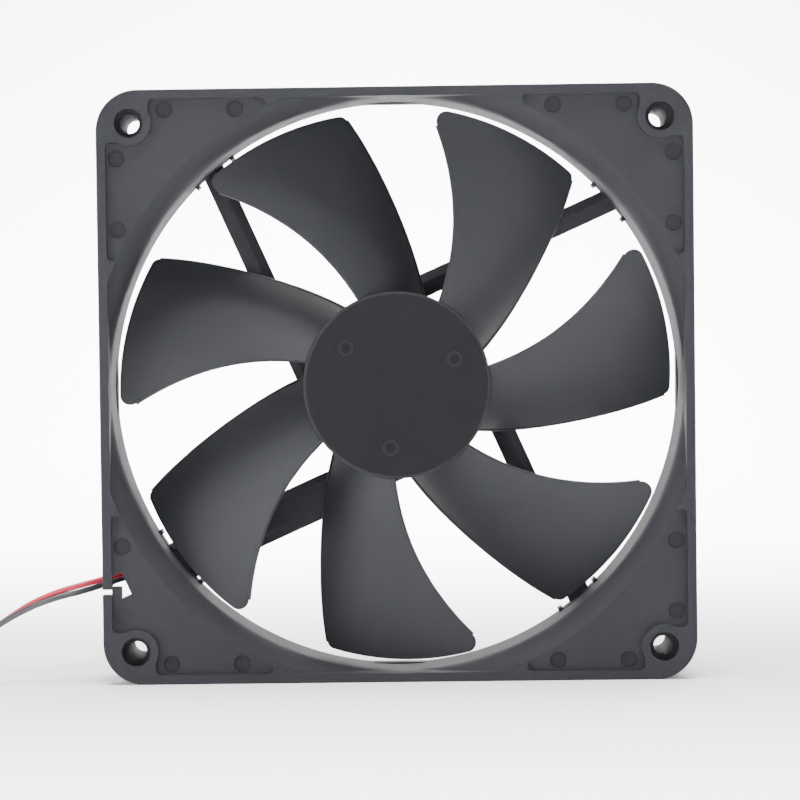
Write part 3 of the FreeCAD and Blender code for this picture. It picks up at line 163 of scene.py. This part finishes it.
def surface(name, dark, light, roughness, grain=900.0, bump=0.15, bump_distance=0.00006,
            metallic=0.0, cloud=40.0, stretch=(1, 1, 1), coat=0.0, ior=1.5):
    """Procedural finish: slow colour variation, fine grain in the bump and an uneven roughness."""
    material = bpy.data.materials.new(name)
    material.use_nodes = True
    tree = material.node_tree
    shader = tree.nodes["Principled BSDF"]
    shader.inputs["Metallic"].default_value = metallic
    shader.inputs["Coat Weight"].default_value = coat
    shader.inputs["IOR"].default_value = ior
    place = tree.nodes.new("ShaderNodeTexCoord")
    mapping = tree.nodes.new("ShaderNodeMapping")
    mapping.inputs["Scale"].default_value = stretch
    link(tree, place.outputs["Object"], mapping.inputs["Vector"])

    slow = tree.nodes.new("ShaderNodeTexNoise")
    slow.inputs["Scale"].default_value = cloud
    slow.inputs["Detail"].default_value = 3.0
    link(tree, mapping.outputs["Vector"], slow.inputs["Vector"])
    ramp = tree.nodes.new("ShaderNodeValToRGB")
    ramp.color_ramp.elements[0].position = 0.3
    ramp.color_ramp.elements[0].color = (*dark, 1)
    ramp.color_ramp.elements[1].position = 0.7
    ramp.color_ramp.elements[1].color = (*light, 1)
    link(tree, slow.outputs["Fac"], ramp.inputs["Fac"])
    link(tree, ramp.outputs["Color"], shader.inputs["Base Color"])

    fine = tree.nodes.new("ShaderNodeTexNoise")
    fine.inputs["Scale"].default_value = grain
    fine.inputs["Detail"].default_value = 4.0
    link(tree, mapping.outputs["Vector"], fine.inputs["Vector"])
    spread = tree.nodes.new("ShaderNodeMapRange")
    spread.inputs["To Min"].default_value = roughness - ROUGHNESS_SPREAD
    spread.inputs["To Max"].default_value = roughness + ROUGHNESS_SPREAD
    link(tree, fine.outputs["Fac"], spread.inputs["Value"])
    link(tree, spread.outputs["Result"], shader.inputs["Roughness"])
    relief = tree.nodes.new("ShaderNodeBump")
    relief.inputs["Strength"].default_value = bump
    relief.inputs["Distance"].default_value = bump_distance
    link(tree, fine.outputs["Fac"], relief.inputs["Height"])
    link(tree, relief.outputs["Normal"], shader.inputs["Normal"])
    return material


def distance_to(tree, spot, mirrored=False):
    """Distance of each surface point from a line along the fan, at this spot (x, z) from the axis."""
    place = tree.nodes.new("ShaderNodeTexCoord")
    along = place.outputs["Object"]
    steps = [("SUBTRACT", (0, 0, AXIS_HEIGHT)), ("SUBTRACT", (spot[0], 0, spot[1])),
             ("MULTIPLY", (1, 0, 1))]
    if mirrored:
        steps.insert(1, ("ABSOLUTE", (0, 0, 0)))
    for operation, value in steps:
        step = tree.nodes.new("ShaderNodeVectorMath")
        step.operation = operation
        step.inputs[1].default_value = value
        link(tree, along, step.inputs[0])
        along = step.outputs["Vector"]
    distance = tree.nodes.new("ShaderNodeVectorMath")
    distance.operation = "LENGTH"
    link(tree, along, distance.inputs[0])
    return distance.outputs["Value"]


def paint_ring(material, color, inner, outer, spot=(0, 0), mirrored=False, front_only=False):
    """A plain ring of another colour round a spot, or also round its three mirror images."""
    tree = material.node_tree
    shader = tree.nodes["Principled BSDF"]
    under = shader.inputs["Base Color"].links[0].from_socket
    compare = tree.nodes.new("ShaderNodeMath")
    compare.operation = "COMPARE"
    compare.inputs[1].default_value = (inner + outer) / 2
    compare.inputs[2].default_value = (outer - inner) / 2
    link(tree, distance_to(tree, spot, mirrored), compare.inputs[0])
    share = compare.outputs["Value"]
    if front_only:
        place = tree.nodes.new("ShaderNodeTexCoord")
        split = tree.nodes.new("ShaderNodeSeparateXYZ")
        link(tree, place.outputs["Object"], split.inputs["Vector"])
        before = tree.nodes.new("ShaderNodeMath")
        before.operation = "LESS_THAN"
        before.inputs[1].default_value = FRONT_FLANGE_REAR
        link(tree, split.outputs["Y"], before.inputs[0])
        both = tree.nodes.new("ShaderNodeMath")
        both.operation = "MULTIPLY"
        link(tree, share, both.inputs[0])
        link(tree, before.outputs["Value"], both.inputs[1])
        share = both.outputs["Value"]
    mix = tree.nodes.new("ShaderNodeMix")
    mix.data_type = "RGBA"
    mix.inputs[MIX_OVER_COLOR].default_value = (*color, 1)
    link(tree, share, mix.inputs[MIX_SHARE])
    link(tree, under, mix.inputs[MIX_UNDER_COLOR])
    link(tree, mix.outputs[MIXED_COLOR], shader.inputs["Base Color"])


def roughen_within(material, radius, roughness):
    """A duller surface inside this distance from the fan axis."""
    tree = material.node_tree
    shader = tree.nodes["Principled BSDF"]
    outside = shader.inputs["Roughness"].links[0].from_socket
    inside = tree.nodes.new("ShaderNodeMath")
    inside.operation = "LESS_THAN"
    inside.inputs[1].default_value = radius
    link(tree, distance_to(tree, (0, 0)), inside.inputs[0])
    mix = tree.nodes.new("ShaderNodeMix")
    mix.inputs[MIX_OVER_VALUE].default_value = roughness
    link(tree, inside.outputs["Value"], mix.inputs[MIX_SHARE])
    link(tree, outside, mix.inputs[MIX_UNDER_VALUE])
    link(tree, mix.outputs[MIXED_VALUE], shader.inputs["Roughness"])


def paint_details(materials):
    """Rings on the label; painted shade on the hub's face, painted highlights on its rim and marks, painted
    shade in the frame's marks.
    """
    for inner, outer in LABEL_RINGS:
        paint_ring(materials["label"], LABEL_INK, inner, outer)

    roughen_within(materials["impeller"], HUB_RADIUS, HUB_ROUGHNESS)
    # painted shade over the hub's face
    paint_ring(materials["impeller"], HUB_FACE_SHADE_COLOR, 0, HUB_RADIUS)
    # painted highlight along the hub's rim
    paint_ring(materials["impeller"], HUB_RIM_HIGHLIGHT_COLOR, HUB_RADIUS - HUB_RIM_HIGHLIGHT_WIDTH, HUB_RADIUS)
    # painted highlights round the hub's marks
    for turn in (0, 120, 240):
        angle = math.radians(HUB_MARK_ANGLE + turn)
        spot = (HUB_MARK_DISTANCE * math.cos(angle), HUB_MARK_DISTANCE * math.sin(angle))
        paint_ring(materials["impeller"], HUB_MARK_HIGHLIGHT_COLOR, HUB_MARK_INNER, HUB_MARK_OUTER, spot)

    # painted shade in and round the frame's marks
    for spot, mirrored in FRAME_MARKS:
        for color, inner, outer in MARK_SHADE_RINGS:
            paint_ring(materials["housing"], color, inner, outer, spot, mirrored, front_only=True)


def dress(node, material):
    """Give a CAD node its finish in every one of its material slots."""
    node_object = NODES[node]
    if not node_object.material_slots:
        node_object.data.materials.append(material)
    for material_slot in node_object.material_slots:
        material_slot.material = material


def make_materials():
    """Every finish, by the short name that FINISHES uses."""
    return {
        "housing": surface("housing_plastic", (0.0105, 0.0110, 0.0150), (0.0140, 0.0145, 0.0185), 0.80,
                           grain=2600, bump=0.8, ior=1.42),
        "impeller": surface("impeller_plastic", (0.0110, 0.0118, 0.0155), (0.0140, 0.0148, 0.0185), 0.62,
                            grain=2600, bump=0.3, bump_distance=0.00004, ior=1.42),
        "steel": surface("plated_steel", (0.52, 0.53, 0.55), (0.62, 0.63, 0.64), 0.34, metallic=1.0,
                         grain=500, bump=0.08),
        "magnet": surface("bonded_magnet", (0.035, 0.035, 0.037), (0.06, 0.06, 0.062), 0.7, grain=1800,
                          bump=0.4),
        "polished": surface("polished_steel", (0.62, 0.63, 0.64), (0.70, 0.71, 0.72), 0.16, metallic=1.0,
                            grain=700, bump=0.03),
        "pressed": surface("pressed_steel", (0.48, 0.48, 0.48), (0.58, 0.58, 0.57), 0.38, metallic=1.0,
                           grain=900, bump=0.1),
        "brass": surface("turned_brass", (0.62, 0.46, 0.20), (0.74, 0.57, 0.27), 0.28, metallic=1.0,
                         grain=300, bump=0.12, stretch=(1, 12, 1)),
        "laminations": surface("laminated_steel", (0.22, 0.23, 0.25), (0.34, 0.35, 0.37), 0.45, metallic=1.0,
                               grain=700, bump=0.35, stretch=(0.2, 6, 0.2)),
        "insulator": surface("insulator_plastic", (0.70, 0.67, 0.57), (0.80, 0.77, 0.68), 0.42, grain=900,
                             bump=0.1),
        "copper": surface("enamelled_copper", (0.52, 0.19, 0.07), (0.70, 0.30, 0.12), 0.28, metallic=0.85,
                          grain=800, bump=0.1, coat=0.6),
        "board": surface("circuit_board", (0.020, 0.11, 0.045), (0.035, 0.16, 0.065), 0.35, grain=700,
                         bump=0.15, cloud=300, coat=0.4),
        "chip": surface("moulded_epoxy", (0.018, 0.018, 0.020), (0.032, 0.032, 0.034), 0.55, grain=2200,
                        bump=0.3),
        "ceramic": surface("component_ceramic", (0.28, 0.21, 0.14), (0.42, 0.33, 0.22), 0.45, grain=900,
                           bump=0.15, cloud=200),
        "tinned": surface("tinned_metal", (0.60, 0.60, 0.58), (0.72, 0.72, 0.70), 0.25, metallic=1.0,
                          grain=900, bump=0.1),
        "label": surface("label_film", (0.24, 0.245, 0.25), (0.31, 0.315, 0.32), 0.38, metallic=0.5,
                         grain=400, bump=0.05, coat=0.3),
        "red": surface("red_vinyl", (0.40, 0.012, 0.040), (0.50, 0.020, 0.055), 0.42, grain=1500, bump=0.1,
                       cloud=150),
        "black": surface("black_vinyl", (0.034, 0.033, 0.037), (0.050, 0.049, 0.054), 0.40, grain=1500,
                         bump=0.1, cloud=150),
        "tie": surface("tie_plastic", (0.02, 0.02, 0.021), (0.035, 0.035, 0.037), 0.5, grain=1500, bump=0.2),
        "connector": surface("connector_nylon", (0.70, 0.68, 0.60), (0.80, 0.78, 0.71), 0.45, grain=1200,
                             bump=0.12),
    }


FINISHES = {
    "frame_housing": "housing", "impeller": "impeller", "rotor_yoke": "steel", "magnet_ring": "magnet",
    "shaft": "polished", "preload_spring": "polished", "retaining_clip": "insulator",
    "front_inner_race": "polished", "rear_inner_race": "polished", "front_outer_race": "polished",
    "rear_outer_race": "polished", "front_balls": "polished", "rear_balls": "polished",
    "front_cage": "pressed", "rear_cage": "pressed", "front_shields": "pressed", "rear_shields": "pressed",
    "bearing_tube": "brass", "stator_core": "laminations", "front_insulator": "insulator",
    "rear_insulator": "insulator", "coil_winding_1": "copper", "coil_winding_2": "copper",
    "coil_winding_3": "copper", "coil_winding_4": "copper", "circuit_board": "board",
    "driver_chip": "chip", "board_components": "ceramic", "terminal_pins": "tinned",
    "rear_label": "label", "red_lead_inner": "red", "black_lead_inner": "black",
    "red_lead_free": "red", "red_lead_coil": "red", "red_lead_tail": "red",
    "black_lead_free": "black", "black_lead_coil": "black", "black_lead_tail": "black",
    "lead_tie": "tie", "connector_housing": "connector", "connector_contacts": "tinned",
}

# ---------------------------------------------------------------- leads
RED_EXIT = (-69.0, -2.5, 24.85)
BLACK_EXIT = (-69.0, -1.2, 23.495)
RED_FREE_ROUTE = [
    (-75.2, -4.9, 23.35), (-81.2, -6.0, 21.85), (-87.8, -6.4, 19.05), (-94.1, -6.4, 15.0),
    (-99.8, -6.4, 10.6), (-105.2, -6.6, 6.4), (-110.8, -7.0, 2.9), (-116.4, -7.4, 1.2),
]
BLACK_FREE_ROUTE = [
    (-75.2, -4.8, 21.7), (-81.3, -7.2, 20.55), (-87.9, -7.8, 18.2), (-94.2, -8.0, 14.85),
    (-99.9, -8.1, 11.1), (-105.4, -8.1, 8.0), (-110.9, -7.9, 5.6), (-116.4, -7.6, 4.2),
]
COIL_X, COIL_Y, COIL_BOTTOM = -125.0, 2.5, 0.3
COIL_OUTER, COIL_INNER = 10.0, 5.4
TURNS, POINTS_PER_TURN = 6.5, 14
CLIMB_START, CLIMB_SHARE = 0.46, 0.08
COIL_ENTRY, COIL_EXIT = 3.6, 6.6
PLUG_X, PLUG_Y, CONTACT_Z, CONTACT_PITCH = -111.0, 12.5, 2.9, 2.5
PLUG_ENTRY, CONTACT_END = -2.5, 1.0


def coil_points(bottom):
    """Flat double spiral: in along the lower layer, out along the upper one, clockwise from above."""
    radius = LEAD_DIAMETER / MM / 2
    count = int(TURNS * POINTS_PER_TURN)
    points = []
    for step in range(1, count):
        share = step / count
        angle = math.radians(-90 - 360 * TURNS * share)
        towards_middle = 1 - abs(2 * share - 1)
        reach = COIL_OUTER - (COIL_OUTER - COIL_INNER) * towards_middle
        climb = min(max((share - CLIMB_START) / CLIMB_SHARE, 0), 1)
        level = bottom + radius + 2 * radius * climb
        points.append((COIL_X + reach * math.cos(angle), COIL_Y + reach * math.sin(angle), level))
    return points


def lead_points(exit_point, free_route, bottom, side):
    """Whole route of one lead: exit, free run, coil and tail into the connector."""
    radius = LEAD_DIAMETER / MM / 2
    contact_y = PLUG_Y + side * CONTACT_PITCH / 2
    top = bottom + 3 * radius
    return ([exit_point] + free_route
            + [(COIL_X + COIL_ENTRY, COIL_Y - COIL_OUTER, bottom + radius)]
            + coil_points(bottom)
            + [(COIL_X + COIL_ENTRY, COIL_Y + COIL_OUTER, top),
               (COIL_X + COIL_EXIT, COIL_Y + COIL_OUTER, top),
               (PLUG_X + PLUG_ENTRY, contact_y, CONTACT_Z),
               (PLUG_X + CONTACT_END, contact_y, CONTACT_Z)])


def add_lead(name, points, material):
    """One smooth open spline, as thick as the insulated lead."""
    data = bpy.data.curves.new(name, "CURVE")
    data.dimensions = "3D"
    data.bevel_depth = LEAD_DIAMETER / 2
    data.bevel_resolution = 5
    data.use_fill_caps = True
    spline = data.splines.new("NURBS")
    spline.points.add(len(points) - 1)
    for point, place in zip(spline.points, points):
        point.co = (*(value * MM for value in place), 1)
    spline.order_u = 3
    spline.use_endpoint_u = True
    spline.resolution_u = 8
    piece = bpy.data.objects.new(name, data)
    bpy.context.scene.collection.objects.link(piece)
    data.materials.append(material)
    return piece


def curve_length(piece):
    """Length of the centre line, measured on the curve without its thickness."""
    bare = piece.copy()
    bare.data = piece.data.copy()
    bare.data.bevel_depth = 0
    mesh = bpy.data.meshes.new_from_object(bare)
    length = sum((mesh.vertices[a].co - mesh.vertices[b].co).length for a, b in
                 (edge.vertices for edge in mesh.edges))
    bpy.data.objects.remove(bare)
    bpy.data.meshes.remove(mesh)
    return length


def add_leads(materials):
    """The red lead's coil lies on the floor, and the black lead's on top of it."""
    layer = 2 * LEAD_DIAMETER / MM
    for colour, exit_point, route, bottom, side, plug in (
        ("red", RED_EXIT, RED_FREE_ROUTE, COIL_BOTTOM, -1, ["connector_housing", "lead_tie"]),
        ("black", BLACK_EXIT, BLACK_FREE_ROUTE, COIL_BOTTOM + layer, 1, ["connector_contacts"]),
    ):
        points = lead_points(exit_point, route, bottom, side)
        piece = add_lead(f"{colour}_lead", points, materials[colour])
        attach(piece, "frame")
        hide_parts(f"{colour}_lead_free", f"{colour}_lead_coil", f"{colour}_lead_tail")
        print(f"{colour} lead is {curve_length(piece):.4f} m long")


add_camera()
materials = make_materials()
paint_details(materials)
add_leads(materials)
add_floor_and_light()
for node, finish in FINISHES.items():
    dress(node, materials[finish])
